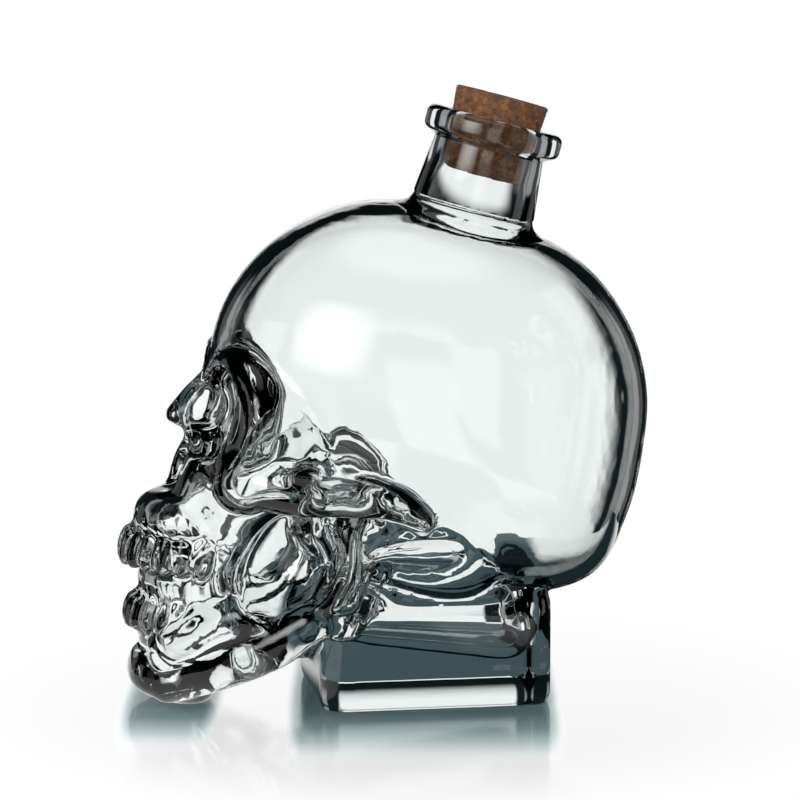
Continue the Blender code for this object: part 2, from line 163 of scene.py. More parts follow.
# Each solid form: centre and half sizes, as shares of half the skull's width, length and height, and how
# square it is (1 is round). A form off the middle is made on both sides
SOLID_SHARES = (
    ((0.0, -0.66, -0.36), (0.80, 0.345, 0.43), 0.75),
    ((0.0, -0.67, -0.75), (0.56, 0.345, 0.35), 0.80),
    ((0.0, -0.785, -1.00), (0.41, 0.345, 0.185), 0.78),
    ((0.0, -0.76, -1.31), (0.335, 0.285, 0.20), 0.80),
    ((0.0, -0.70, -1.56), (0.36, 0.29, 0.26), 0.80),
    ((0.0, -0.47, -1.20), (0.56, 0.45, 0.40), 0.82),
    ((0.0, 0.12, -0.68), (0.77, 0.42, 0.40), 0.75),
    ((0.0, -0.88, -0.40), (0.17, 0.17, 0.26), 0.90),
    ((0.62, -0.755, -0.60), (0.22, 0.145, 0.20), 0.90),
    ((0.65, -0.21, -0.97), (0.14, 0.15, 0.38), 0.75),
)
CHIN_SHARES = ((0.0, -0.785, -1.823), (0.30, 0.20, 0.15), 0.72)

# Each bone ridge: the points that it passes, each with its thickness as a share of half the width
RIDGE_SHARES = {
    "brow": (
        ((0.00, -0.880, -0.17), 0.130),
        ((0.24, -0.880, -0.11), 0.140),
        ((0.48, -0.860, -0.08), 0.125),
        ((0.68, -0.800, -0.15), 0.100),
        ((0.76, -0.760, -0.34), 0.090),
        ((0.73, -0.760, -0.54), 0.110),
    ),
    "nose": (
        ((0.0, -0.92, -0.21), 0.110),
        ((0.0, -0.99, -0.34), 0.105),
        ((0.0, -1.045, -0.44), 0.085),
    ),
    "cheek": (
        ((0.70, -0.74, -0.60), 0.155),
        ((0.82, -0.56, -0.60), 0.130),
        ((0.865, -0.34, -0.550), 0.115),
        ((0.860, -0.12, -0.545), 0.090),
        ((0.830, 0.02, -0.60), 0.055),
    ),
    "jaw_body": (
        ((0.26, -0.84, -1.66), 0.150),
        ((0.45, -0.69, -1.45), 0.150),
        ((0.58, -0.52, -1.29), 0.130),
        ((0.66, -0.36, -1.15), 0.110),
    ),
}
JAW_RIM_SHARES = (
    ((0.19, -0.81, -1.84), 0.135),
    ((0.41, -0.66, -1.68), 0.140),
    ((0.58, -0.48, -1.49), 0.135),
    ((0.66, -0.33, -1.29), 0.125),
)

# Each hollow: centre and half sizes, in the same shares, how square it is, and its turns about X and Z
HOLLOW_SHARES = (
    ((0.41, -1.00, -0.345), (0.285, 0.28, 0.262), 0.85, 0, 20),
    ((0.0, -1.06, -0.69), (0.18, 0.17, 0.16), 0.90, 0, 0),
    ((0.0, -1.06, -0.61), (0.11, 0.16, 0.13), 0.90, 0, 0),
    ((1.28, -0.55, -0.24), (0.495, 0.20, 0.40), 0.95, 0, 0),
    ((0.76, -0.49, -1.02), (0.46, 0.19, 0.33), 0.85, -20, 0),
    ((0.87, 0.04, -0.79), (0.20, 0.25, 0.095), 0.90, 19, 0),
)

# The relief in the materials: its waves to the metre, and how deep it is pressed
CHILL_WAVES = 70.0
CHILL_RIPPLES = 250.0
CHILL_RIPPLE_SHARE = 0.12
CHILL_DEPTH = 0.0006
BARK_SPECKS = 1800.0
BARK_DEPTH = 0.0003

# The camera, at the photograph's angle
CAMERA_AZIMUTH = math.radians(81)
CAMERA_ELEVATION = math.radians(9)
CAMERA_TARGET = Vector((0, -0.0075, 0.0913))
CAMERA_DISTANCE = 1.1
CAMERA_FIELD = 0.248

# The softbox, and how much brighter its middle is than a plain one
LAMP_AZIMUTH = math.radians(44)
LAMP_ELEVATION = math.radians(24)
LAMP_DISTANCE = 1.1
LAMP_SIDE = 0.8
LAMP_WATTS = 8
LAMP_MIDDLE = 2.0

# The bright panels that the glass sees round it: the angles from a panel's middle at which it starts to
# fade and is gone, how bright every second one is, and, as sines of the elevation, where they fade upwards
# and where the ceiling begins
PANEL_COUNT = 8
PANEL_INNER = math.radians(9)
PANEL_OUTER = math.radians(14)
SECOND_PANEL_SHARE = 0.3
PANEL_TOP = (0.2, 0.34)
PANEL_STRENGTH = 1.06
CEILING_FOOT = (0.86, 0.95)
CEILING_STRENGTH = 0.9

# The table: how far the painted shadow and reflection of foot and chin reach on it and how many times less
# to the sides, how much the table glows by itself in that painted shade, and how glossy it is, from where
# that fades to its end
TABLE_RADIUS = 0.18
TABLE_GAP = 0.0004
PAINTED_SHADE_REACH = 0.065
PAINTED_SHADE_SIDE_FACTOR = 9
TABLE_SHADE_GLOW = 0.6
GLOSS_SHARE = 0.3
GLOSS_INNER = 0.07
GLOSS_OUTER = 0.16

# On the table, with X across the view and Y away from the camera: where the chin stands, and the lane
# where the glass shows the table in a painted slate shade, past which it is painted dark
CHIN_SPOT = (-0.078, -0.012, 0)
CHIN_HALF_SIZES = (0.0095, 0.008, 0)
LANE_DEPTH = 0.033
LANE_INNER = 0.036
LANE_OUTER = 0.046
DARK_INNER = 0.09
DARK_OUTER = 0.13


# Tools

def paint(code):
    """The linear colour of an sRGB hex value."""
    parts = [int(code[i : i + 2], 16) / 255 for i in (1, 3, 5)]
    return (*[c / 12.92 if c <= 0.04045 else ((c + 0.055) / 1.055) ** 2.4 for c in parts], 1)


def node(tree, kind, inputs=None, **settings):
    """Adds a node with its settings. An input, by name or number, is a value or the socket that feeds
    it."""
    made = tree.nodes.new(kind)
    for name, value in settings.items():
        setattr(made, name, value)
    for name, value in (inputs or {}).items():
        if isinstance(value, bpy.types.NodeSocket):
            tree.links.new(value, made.inputs[name])
        else:
            made.inputs[name].default_value = value
    return made


def maths(tree, operation, *values):
    """The result of a Math node on values or sockets."""
    return node(tree, "ShaderNodeMath", dict(enumerate(values)), operation=operation).outputs[0]


def vector_maths(tree, operation, *values):
    """The vector that a Vector Math node makes of values or sockets."""
    return node(tree, "ShaderNodeVectorMath", dict(enumerate(values)), operation=operation).outputs[0]


def length_of(tree, vector):
    """The length of a vector socket."""
    return node(tree, "ShaderNodeVectorMath", {0: vector}, operation="LENGTH").outputs["Value"]


def remapped(tree, value, start, end, low=0.0, high=1.0, **settings):
    """A value as it goes from start to end, held and scaled to go from low to high."""
    limits = {"Value": value, "From Min": start, "From Max": end, "To Min": low, "To Max": high}
    return node(tree, "ShaderNodeMapRange", limits, **settings).outputs["Result"]


def noise(tree, place, waves, detail):
    """A noise with so many waves to the metre."""
    return node(tree, "ShaderNodeTexNoise", {"Vector": place, "Scale": waves, "Detail": detail}).outputs[0]


def granules(tree, place, seed, count):
    """The granules of pressed cork, so many to the metre: how far a place is from a seam, as a share of
    its granule, and the granule's own random colour."""
    cells = {"Vector": place, "W": seed, "Scale": count, "Randomness": 1.0}
    kind = "ShaderNodeTexVoronoi"
    edge = node(tree, kind, cells, voronoi_dimensions="4D", feature="DISTANCE_TO_EDGE")
    granule = node(tree, kind, cells, voronoi_dimensions="4D")
    return edge.outputs["Distance"], granule.outputs["Color"]


def blank_tree(owner):
    """The emptied node tree of a new material, world or lamp."""
    owner.use_nodes = True
    owner.node_tree.nodes.clear()
    return owner.node_tree


def mixed(tree, share, first, second, **settings):
    """A colour that goes from the first to the second with the share."""
    parts = {"Factor": share, 6: first, 7: second}
    return node(tree, "ShaderNodeMix", parts, data_type="RGBA", **settings).outputs[2]


def ramped(tree, value, stops):
    """The colour of a ramp that has a hex value at each position."""
    ramp = node(tree, "ShaderNodeValToRGB", {0: value})
    elements = ramp.color_ramp.elements
    for element, (position, code) in zip(elements, (stops[0], stops[-1])):
        element.position = position
        element.color = paint(code)
    for position, code in stops[1:-1]:
        elements.new(position).color = paint(code)
    return ramp.outputs[0]


def layered(tree, share, under, over):
    """A shader that goes from the one under to the one over with the share."""
    return node(tree, "ShaderNodeMixShader", {0: share, 1: under, 2: over}).outputs[0]


def growing_tree(name, inputs, result):
    """A Geometry Nodes tree with its named inputs, each with its kind of socket, and one result."""
    tree = bpy.data.node_groups.new(name, "GeometryNodeTree")
    for label, kind in inputs.items():
        tree.interface.new_socket(label, in_out="INPUT", socket_type="NodeSocket" + kind)
    tree.interface.new_socket(result, in_out="OUTPUT", socket_type="NodeSocketGeometry")
    return tree, node(tree, "NodeGroupInput").outputs


def ended(tree, grown, material):
    """Ends a Geometry Nodes tree: what has grown becomes a real mesh and gets its material."""
    solid = node(tree, "GeometryNodeRealizeInstances", {0: grown}).outputs[0]
    skin = node(tree, "GeometryNodeSetMaterial", {"Geometry": solid, "Material": material})
    node(tree, "NodeGroupOutput", {0: skin.outputs[0]})
    return tree


def new_object(name, form):
    """An object with its mesh from a bmesh form, which is freed."""
    mesh = bpy.data.meshes.new(name)
    form.to_mesh(mesh)
    form.free()
    obj = bpy.data.objects.new(name, mesh)
    bpy.context.scene.collection.objects.link(obj)
    return obj


def baked(obj):
    """Replaces an object's mesh by what its modifiers make of it."""
    bpy.context.view_layer.update()
    mesh = bpy.data.meshes.new_from_object(obj.evaluated_get(bpy.context.evaluated_depsgraph_get()))
    obj.modifiers.clear()
    obj.data = mesh
    return obj


def placed(obj, matrix):
    """Puts an object's place into its mesh."""
    obj.data.transform(matrix)
    obj.data.update()
    return obj


def joined(form, obj):
    """Moves an object's mesh into a form and removes the object."""
    form.from_mesh(obj.data)
    bpy.data.objects.remove(obj)


def cut(obj, other, operation):
    """Joins another solid to an object or takes it away, and removes it."""
    join = obj.modifiers.new("cut", "BOOLEAN")
    join.operation = operation
    join.object = other
    join.solver = "MANIFOLD"
    baked(obj)
    bpy.data.objects.remove(other)


def turned(name, profile, steps=TURN_STEPS):
    """A solid of revolution about its own Z from a profile that runs down its outer side."""
    form = bmesh.new()
    knots = [form.verts.new((r, 0, z)) for r, z in profile]
    for start, end in zip(knots, knots[1:]):
        form.edges.new((start, end))
    obj = new_object(name, form)
    screw = obj.modifiers.new("turn", "SCREW")
    screw.steps = screw.render_steps = steps
    screw.use_merge_vertices = True
    screw.merge_threshold = MERGE_DISTANCE
    screw.use_smooth_shade = False
    return baked(obj)


def arc(centre_r, centre_z, radius, start, end, steps=ARC_STEPS):
    """Points of an arc in a turned profile, with its angles in degrees."""
    turn = [math.radians(start + (end - start) * i / steps) for i in range(steps + 1)]
    return [(centre_r + radius * math.cos(a), centre_z + radius * math.sin(a)) for a in turn]


def evenly(start, end, pitch):
    """Points of a straight stretch of a turned profile, about a pitch apart, without the last."""
    count = max(1, round(math.dist(start, end) / pitch))
    return [tuple(a + (b - a) * i / count for a, b in zip(start, end)) for i in range(count)]


# The skull's forms

def outline_share(degrees):
    """The cranium's outline at an angle from the forehead, on a smooth closed line through its shares."""
    count = len(CRANIUM_SHARES)
    place = degrees / 360 * count
    step = math.floor(place)
    t = place - step
    before, start, end, after = (CRANIUM_SHARES[(step + i) % count] for i in (-1, 0, 1, 2))
    return (
        start
        + t * (end - before) / 2
        + t * t * (2 * before - 5 * start + 4 * end - after) / 2
        + t * t * t * (3 * start - before - 3 * end + after) / 2
    )


def share_place(shares, side=1):
    """A point of the skull's frame from shares of half its width, length and height."""
    return Vector((side * shares[0] * HALF_WIDTH, shares[1] * HALF_LENGTH, shares[2] * HALF_HEIGHT))


def sides_of(shares):
    """Both sides for a form off the middle plane, one for a form on it."""
    return (1, -1) if shares[0] else (1,)


def skull_place():
    """The matrix from the skull's frame to the world, with the chin just touching the ground."""
    lean = Matrix.Rotation(-SKULL_TILT, 4, "X")
    centre, half_sizes = CHIN_SHARES[:2]
    chin = lean @ share_place(centre)
    sizes = share_place(half_sizes)
    drop = math.hypot(sizes.y * math.sin(SKULL_TILT), sizes.z * math.cos(SKULL_TILT))
    return Matrix.Translation((0, SKULL_SETBACK, drop - chin.z - OVERRUN)) @ lean


def add_blob(form, centre, half_sizes, square=1, turn=(0, 0, 0), steps=BLOB_STEPS):
    """Adds a closed ellipsoid to a form, or a squarer one for a lower power."""
    blob = bmesh.new()
    bmesh.ops.create_uvsphere(blob, u_segments=steps, v_segments=steps // 2, radius=1)
    for vertex in blob.verts:
        vertex.co = [math.copysign(abs(part) ** square, part) for part in vertex.co]
    blob.transform(Matrix.LocRotScale(centre, Euler(turn), Vector(half_sizes)))
    mesh = bpy.data.meshes.new("blob")
    blob.to_mesh(mesh)
    blob.free()
    form.from_mesh(mesh)
    bpy.data.meshes.remove(mesh)


def add_ridge(form, points, radii):
    """Adds a closed tube of changing thickness that follows a smooth line, with rounded ends."""
    curve = bpy.data.curves.new("ridge", "CURVE")
    curve.dimensions = "3D"
    curve.bevel_depth = 1
    curve.bevel_resolution = RIDGE_ROUND_STEPS
    curve.resolution_u = RIDGE_RUN_STEPS
    curve.use_fill_caps = True
    line = curve.splines.new("BEZIER")
    line.bezier_points.add(len(points) - 1)
    for knot, point, radius in zip(line.bezier_points, points, radii):
        knot.co = point
        knot.radius = radius
        knot.handle_left_type = knot.handle_right_type = "AUTO"
    guide = bpy.data.objects.new("ridge", curve)
    bpy.context.scene.collection.objects.link(guide)
    bpy.context.view_layer.update()
    mesh = bpy.data.meshes.new_from_object(guide.evaluated_get(bpy.context.evaluated_depsgraph_get()))
    form.from_mesh(mesh)
    bpy.data.objects.remove(guide)
    bpy.data.meshes.remove(mesh)
    for end in (0, -1):
        add_blob(form, points[end], (radii[end],) * 3, steps=RIDGE_END_STEPS)


def add_cranium(form):
    """Adds the braincase: a sphere with its poles at the ears, drawn out to the sagittal outline."""
    skin = bmesh.new()
    bmesh.ops.create_uvsphere(
        skin, u_segments=CRANIUM_STEPS, v_segments=CRANIUM_STEPS * 2 // 3, radius=1
    )
    for vertex in skin.verts:
        forward, up, across = vertex.co
        spread = math.hypot(forward, up)
        angle = math.atan2(up, forward)
        share = outline_share(math.degrees(angle) % 360)
        reach = Vector((-HALF_LENGTH * math.cos(angle), HALF_HEIGHT * math.sin(angle))) * share
        reach *= spread**SQUARING
        width = math.copysign(abs(across) ** SQUARING, across) * HALF_WIDTH
        shift = PARIETAL_SHARE * HALF_LENGTH * across * across
        vertex.co = (width, reach.x + shift, reach.y)
    mesh = bpy.data.meshes.new("cranium")
    skin.to_mesh(mesh)
    skin.free()
    form.from_mesh(mesh)
    bpy.data.meshes.remove(mesh)


def add_blobs(form, table):
    """Adds each solid form of a table of shares, on both sides where it is off the middle."""
    for centre, sizes, square in table:
        for side in sides_of(centre):
            add_blob(form, share_place(centre, side), share_place(sizes), square)


def add_ridges(form, table):
    """Adds a bone ridge on each side, or one in the middle."""
    for side in sides_of(table[-1][0]):
        points = [share_place(shares, side) for shares, radius_share in table]
        add_ridge(form, points, [radius_share * HALF_WIDTH for shares, radius_share in table])


def add_hollows(target):
    """Sinks the orbits, nose, temples, cheeks and mastoids into a solid."""
    for centre, sizes, square, pitch, yaw in HOLLOW_SHARES:
        for side in sides_of(centre):
            form = bmesh.new()
            turn = (math.radians(pitch), 0, side * math.radians(yaw))
            add_blob(form, share_place(centre, side), share_place(sizes), square, turn)
            cut(target, new_object("hollow", form), "DIFFERENCE")


def fused(obj, grain):
    """Fuses the overlapping forms of an object into one skin."""
    skin = obj.modifiers.new("fuse", "REMESH")
    skin.mode = "VOXEL"
    skin.voxel_size = grain
    return baked(obj)


def softened(obj, steps):
    """Flows the skin smooth, as fire-polished glass."""
    soften = obj.modifiers.new("soften", "SMOOTH")
    soften.factor = 0.5
    soften.iterations = steps
    return baked(obj)


def wall_tree():
    """Follows a closed skin at a depth below it, as the inside of a blown wall does."""
    sockets = {"Skin": "Geometry", "Depth": "Float", "Grain": "Float", "Glass": "Material"}
    tree, given = growing_tree("blown_wall", sockets, "Inside")
    # The fog is full at twice the depth, so where it is half full it is one depth deep
    fog = node(
        tree,
        "GeometryNodeMeshToVolume",
        {
            "Mesh": given["Skin"],
            "Density": 1.0,
            "Voxel Size": given["Grain"],
            "Interior Band Width": maths(tree, "MULTIPLY", given["Depth"], 2.0),
        },
        resolution_mode="VOXEL_SIZE",
    )
    inside = node(tree, "GeometryNodeVolumeToMesh", {"Volume": fog.outputs[0], "Threshold": 0.5})
    return ended(tree, inside.outputs[0], given["Glass"])


# The teeth: one Geometry Nodes tree, used for both rows

def tooth_tree():
    """Sets one rounded tooth on each point of an arch, turned to face outwards."""
    sockets = {
        "Arch": "Geometry",
        "Thickness": "Float",
        "Height": "Float",
        "Swell": "Float",
        "Squareness": "Float",
        "Enamel": "Material",
    }
    tree, given = growing_tree("tooth_row", sockets, "Teeth")
    steps = {"Segments": TOOTH_STEPS, "Rings": TOOTH_STEPS // 2, "Radius": 1.0}
    ball = node(tree, "GeometryNodeMeshUVSphere", steps).outputs["Mesh"]
    place = node(tree, "GeometryNodeInputPosition").outputs[0]
    parts = node(tree, "ShaderNodeSeparateXYZ", {0: place}).outputs
    squared = {}
    for axis in range(3):
        power = maths(tree, "POWER", maths(tree, "ABSOLUTE", parts[axis]), given["Squareness"])
        squared[axis] = maths(tree, "MULTIPLY", power, maths(tree, "SIGN", parts[axis]))
    corner = node(tree, "ShaderNodeCombineXYZ", squared).outputs[0]
    tooth = node(tree, "GeometryNodeSetPosition", {"Geometry": ball, "Position": corner}).outputs[0]
    width = node(tree, "GeometryNodeInputNamedAttribute", {"Name": "width"}, data_type="FLOAT")
    half_sizes = {
        0: maths(tree, "MULTIPLY", width.outputs["Attribute"], given["Swell"]),
        1: maths(tree, "MULTIPLY", given["Thickness"], 0.5),
        2: maths(tree, "MULTIPLY", given["Height"], 0.5),
    }
    sizes = node(tree, "ShaderNodeCombineXYZ", half_sizes).outputs[0]
    facing = node(tree, "GeometryNodeInputNamedAttribute", {"Name": "facing"}, data_type="FLOAT")
    turn = node(tree, "ShaderNodeCombineXYZ", {2: facing.outputs["Attribute"]}).outputs[0]
    row = node(
        tree,
        "GeometryNodeInstanceOnPoints",
        {"Points": given["Arch"], "Instance": tooth, "Rotation": turn, "Scale": sizes},
    )
    return ended(tree, row.outputs[0], given["Enamel"])


def with_tree(obj, tree, values):
    """Runs a Geometry Nodes tree with its named inputs on an object and keeps the result as its mesh."""
    grown = obj.modifiers.new("grown", "NODES")
    grown.node_group = tree
    for item in tree.interface.items_tree:
        if item.in_out == "INPUT" and item.name in values:
            grown[item.identifier] = values[item.name]
    return baked(obj)


def arch_swing(run, half_width, depth):
    """The ellipse angle at which the arch is run long from its middle."""
    swing, travelled = 0, 0
    while travelled < run:
        travelled += math.hypot(half_width * math.cos(swing), depth * math.sin(swing)) * ARCH_STEP
        swing += ARCH_STEP
    return swing


def add_teeth(form, tree, glass, arch_width, front_share, height_share, tooth_height, size_share):
    """Adds one row of teeth along half an ellipse, from the middle to the molars on both sides."""
    arch_depth = arch_width * ARCH_DEPTH_SHARE
    arch = bmesh.new()
    width_layer = arch.verts.layers.float.new("width")
    facing_layer = arch.verts.layers.float.new("facing")
    run = 0
    for width in TOOTH_WIDTHS:
        width *= size_share
        swing = arch_swing(run + width / 2, arch_width / 2, arch_depth)
        run += width
        back = (1 - math.cos(swing)) * arch_depth
        place = (
            math.sin(swing) * arch_width / 2,
            front_share * HALF_LENGTH + back,
            height_share * HALF_HEIGHT + back * ARCH_RISE_SHARE,
        )
        facing = math.atan2(math.sin(swing) / arch_width * 2, math.cos(swing) / arch_depth)
        for side in (1, -1):
            point = arch.verts.new((side * place[0], place[1], place[2]))
            point[width_layer] = width
            point[facing_layer] = side * facing
    values = {
        "Thickness": TOOTH_THICKNESS,
        "Height": tooth_height,
        "Swell": TOOTH_SWELL_SHARE,
        "Squareness": TOOTH_SQUARING,
        "Enamel": glass,
    }
    joined(form, with_tree(new_object("tooth_row", arch), tree, values))


# The bottle

def rounded_block(half_sizes, centre, rounding):
    """A block with all its edges rounded."""
    form = bmesh.new()
    bmesh.ops.create_cube(form, size=2, matrix=Matrix.LocRotScale(centre, None, Vector(half_sizes)))
    obj = new_object("block", form)
    soft = obj.modifiers.new("round", "BEVEL")
    soft.width = rounding
    soft.segments = ARC_STEPS
    return baked(obj)


def add_foot_cavity(form, lean):
    """Adds the foot's hollow, whose floor rises to the front, and the well between it and the skull's."""
    half_width, half_length = FOOT_WIDTH / 2, FOOT_LENGTH / 2
    slab_top = FOOT_HEIGHT - FOOT_WALL
    half_sizes = (half_width - FOOT_WALL, half_length - FOOT_WALL, (slab_top - FOOT_FLOOR) / 2)
    slab = rounded_block(half_sizes, (0, 0, (slab_top + FOOT_FLOOR) / 2), FOOT_CAVITY_ROUNDING)
    for vertex in slab.data.vertices:
        depth = (slab_top - vertex.co.z) / (slab_top - FOOT_FLOOR)
        to_the_front = 0.5 - vertex.co.y / (2 * half_sizes[1])
        vertex.co.z += FOOT_FLOOR_RISE * depth * to_the_front
    joined(form, slab)
    front, back = WELL_FRONT_SHARE * half_length, WELL_BACK_SHARE * half_length
    top = lean.translation.z - WELL_TOP_SHARE * HALF_HEIGHT
    low = FOOT_FLOOR + FOOT_FLOOR_RISE
    half_sizes = (WELL_WIDTH_SHARE * half_width, (back - front) / 2, (top - low) / 2)
    joined(form, rounded_block(half_sizes, (0, (back + front) / 2, (top + low) / 2), FOOT_CAVITY_ROUNDING))


def lip_top_height():
    """Height of the lip's top over the cranium's centre, along the neck."""
    return outline_share(90) * HALF_HEIGHT + NECK_HEIGHT + LIP_HEIGHT - NECK_SPREAD / 2


def neck_skirt():
    """The flare at the neck's foot, which melts into the crown."""
    shoulder = lip_top_height() - LIP_HEIGHT - NECK_HEIGHT
    inner = NECK_FOOT_RADIUS - SKIRT_INSET
    profile = [(0, shoulder + 2 * NECK_SPREAD), (inner, shoulder + 2 * NECK_SPREAD)]
    profile += arc(inner + NECK_SPREAD, shoulder + NECK_SPREAD, NECK_SPREAD, 180, 265)
    profile += [(inner + NECK_SPREAD, shoulder - NECK_SPREAD), (0, shoulder - NECK_SPREAD)]
    return turned("neck_skirt", profile)


def neck_solid():
    """Neck and lip as one turned solid in the neck's own frame, whose origin is the cranium's centre."""
    lip_top = lip_top_height()
    lip_foot = lip_top - LIP_HEIGHT
    shoulder = lip_foot - NECK_HEIGHT
    bead = LIP_RADIUS - LIP_ROUNDING
    profile = [(0, lip_top)]
    profile += arc(bead, lip_top - LIP_ROUNDING, LIP_ROUNDING, 90, 0)
    profile += arc(bead, lip_foot + LIP_ROUNDING, LIP_ROUNDING, 0, -80)
    profile += [(NECK_TOP_RADIUS, lip_foot - LIP_ROUNDING / 2)]
    profile += [(NECK_FOOT_RADIUS, shoulder + NECK_SPREAD)]
    profile += [(NECK_FOOT_RADIUS - NECK_SPREAD, shoulder - NECK_SPREAD), (0, shoulder - NECK_SPREAD)]
    return turned("neck", profile)


def bore_solid():
    """The way in through the neck, as a cutter with a rounded mouth."""
    top = lip_top_height()
    profile = [(0, top + OVERRUN), (BORE_RADIUS + MOUTH_ROUNDING, top + OVERRUN)]
    profile += arc(BORE_RADIUS + MOUTH_ROUNDING, top - MOUTH_ROUNDING, MOUTH_ROUNDING, 90, 180)
    neck_foot = top - LIP_HEIGHT - NECK_HEIGHT
    widest = NECK_FOOT_RADIUS - NECK_WALL
    profile += [(BORE_RADIUS, top + CORK_PROUD - CORK_LENGTH)]
    profile += [(widest, neck_foot + NECK_SPREAD), (widest + MOUTH_ROUNDING, neck_foot)]
    profile += [(widest + NECK_WALL, neck_foot - GLASS_WALL - MOUTH_ROUNDING)]
    profile += [(BORE_RADIUS, neck_foot - 3 * GLASS_WALL), (0, neck_foot - 3 * GLASS_WALL)]
    return turned("bore", profile)


def kept_inside(obj, name):
    """Holds every point of a piece inside its CAD node's box."""
    low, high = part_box(name)
    for vertex in obj.data.vertices:
        vertex.co = [min(max(part, least), most) for part, least, most in zip(vertex.co, low, high)]


def skull_solid(lean):
    """The skull with its hollows sunk and its skin flowed smooth, without teeth, chin and jaw rim."""
    form = bmesh.new()
    add_cranium(form)
    add_blobs(form, SOLID_SHARES)
    for table in RIDGE_SHARES.values():
        add_ridges(form, table)
    skull = fused(new_object("skull", form), OUTER_GRAIN)
    add_hollows(skull)
    return placed(softened(fused(skull, OUTER_GRAIN), SKULL_SOFTENING), lean)


def cavity_solid(skull, lean, glass):
    """The carafe's hollow: under the skull's skin and in the foot. The part under the skin starts too
    narrow and is swelled, so that no thin channel is left to crumple."""
    form = bmesh.new()
    form.from_mesh(skull.data)
    inside = new_object("inside", form)
    depth = GLASS_WALL + NARROWEST_CHANNEL
    with_tree(inside, wall_tree(), {"Depth": depth, "Grain": CAVITY_GRAIN, "Glass": glass})
    swell = inside.modifiers.new("swell", "DISPLACE")
    swell.strength = NARROWEST_CHANNEL
    swell.mid_level = 0
    form = bmesh.new()
    joined(form, baked(inside))
    add_foot_cavity(form, lean)
    return softened(fused(new_object("cavity", form), CAVITY_GRAIN), CAVITY_SOFTENING)


def glass_bottle(lean, neck_axis, glass):
    """One blown shell: the skull's skin with the neck on it, less the cavity, the bore and the ground."""
    skull = skull_solid(lean)
    cavity = cavity_solid(skull, lean, glass)

    form = bmesh.new()
    tree = tooth_tree()
    for arch_width, front_and_height, tooth_height, size_share in (
        (UPPER_ARCH_WIDTH, UPPER_TEETH_SHARES, UPPER_TOOTH_HEIGHT, 1),
        (LOWER_ARCH_WIDTH, LOWER_TEETH_SHARES, LOWER_TOOTH_HEIGHT, LOWER_TOOTH_SHARE),
    ):
        add_teeth(form, tree, glass, arch_width, *front_and_height, tooth_height, size_share)
    # The chin and the jaw's rim have no hollow behind them, so they are thick, dark glass
    add_blobs(form, [CHIN_SHARES])
    add_ridges(form, JAW_RIM_SHARES)
    form.transform(lean)
    joined(form, skull)
    half_sizes = (FOOT_WIDTH / 2, FOOT_LENGTH / 2, (FOOT_HEIGHT + FOOT_SUNK) / 2)
    joined(form, rounded_block(half_sizes, (0, 0, (FOOT_HEIGHT - FOOT_SUNK) / 2), FOOT_ROUNDING))
    joined(form, placed(neck_skirt(), neck_axis))
    bottle = softened(fused(new_object("blown_skull", form), OUTER_GRAIN), OUTER_SOFTENING)
    thin = bottle.modifiers.new("thin", "DECIMATE")
    thin.ratio = KEPT_FACET_SHARE
    baked(bottle)

    cut(bottle, placed(neck_solid(), neck_axis), "UNION")
    cut(cavity, placed(bore_solid(), neck_axis), "UNION")
    cut(bottle, cavity, "DIFFERENCE")
    form = bmesh.new()
    half_sizes = Vector((SKULL_LENGTH, SKULL_LENGTH, SKULL_HEIGHT))
    below = Matrix.LocRotScale((0, 0, -SKULL_HEIGHT), None, half_sizes)
    bmesh.ops.create_cube(form, size=2, matrix=below)
    cut(bottle, new_object("ground", form), "DIFFERENCE")
    kept_inside(bottle, "glass_bottle")
    return bottle


# The cork: a turned plug with granules pressed into its skin

def granule_tree():
    """Sinks the seams between cork granules, and a few pits where one has crumbled away."""
    sockets = {
        "Plug": "Geometry",
        "Granule": "Float",
        "Seam Depth": "Float",
        "Pit Depth": "Float",
        "Seed": "Float",
        "Cork": "Material",
    }
    tree, given = growing_tree("cork_granules", sockets, "Worn Plug")
    place = node(tree, "GeometryNodeInputPosition").outputs[0]
    edge, granule = granules(tree, place, given["Seed"], maths(tree, "DIVIDE", 1.0, given["Granule"]))
    seam = remapped(tree, edge, 0.0, CORK_SEAM_SHARE, 1.0, 0.0)
    draw = node(tree, "ShaderNodeSeparateXYZ", {0: granule}).outputs[0]
    crumbled = remapped(tree, draw, *CRUMBLING_SHARES)
    depth = maths(tree, "MULTIPLY", seam, given["Seam Depth"])
    depth = maths(tree, "MULTIPLY_ADD", crumbled, given["Pit Depth"], depth)
    inward = maths(tree, "MULTIPLY", depth, -1.0)
    normal = node(tree, "GeometryNodeInputNormal").outputs[0]
    offset = node(tree, "ShaderNodeVectorMath", {0: normal, "Scale": inward}, operation="SCALE").outputs[0]
    worn = node(tree, "GeometryNodeSetPosition", {"Geometry": given["Plug"], "Offset": offset})
    return ended(tree, worn.outputs[0], given["Cork"])


def cork_stopper(neck_axis, cork):
    """The stopper: a tapered plug with broken edges, finely faceted, with its granules sunk in."""
    seat = BORE_RADIUS - SEAT_CLEARANCE
    top = seat + CORK_PROUD * CORK_TAPER_SHARE
    foot = top - CORK_LENGTH * CORK_TAPER_SHARE
    corners = [
        (0, 0),
        (top - CORK_CHAMFER, 0),
        (top, -CORK_CHAMFER),
        (foot, CORK_CHAMFER - CORK_LENGTH),
        (foot - CORK_CHAMFER, -CORK_LENGTH),
        (0, -CORK_LENGTH),
    ]
    profile = [point for pair in zip(corners, corners[1:]) for point in evenly(*pair, CORK_FACET)]
    plug = placed(
        turned("cork_plug", profile + corners[-1:]),
        neck_axis @ Matrix.Translation((0, 0, lip_top_height() + CORK_PROUD)),
    )
    values = {
        "Granule": CORK_GRANULE,
        "Seam Depth": CORK_SEAM_DEPTH,
        "Pit Depth": CORK_PIT_DEPTH,
        "Seed": CORK_SEED,
        "Cork": cork,
    }
    with_tree(plug, granule_tree(), values)
    kept_inside(plug, "cork_stopper")
    return plug


# Materials

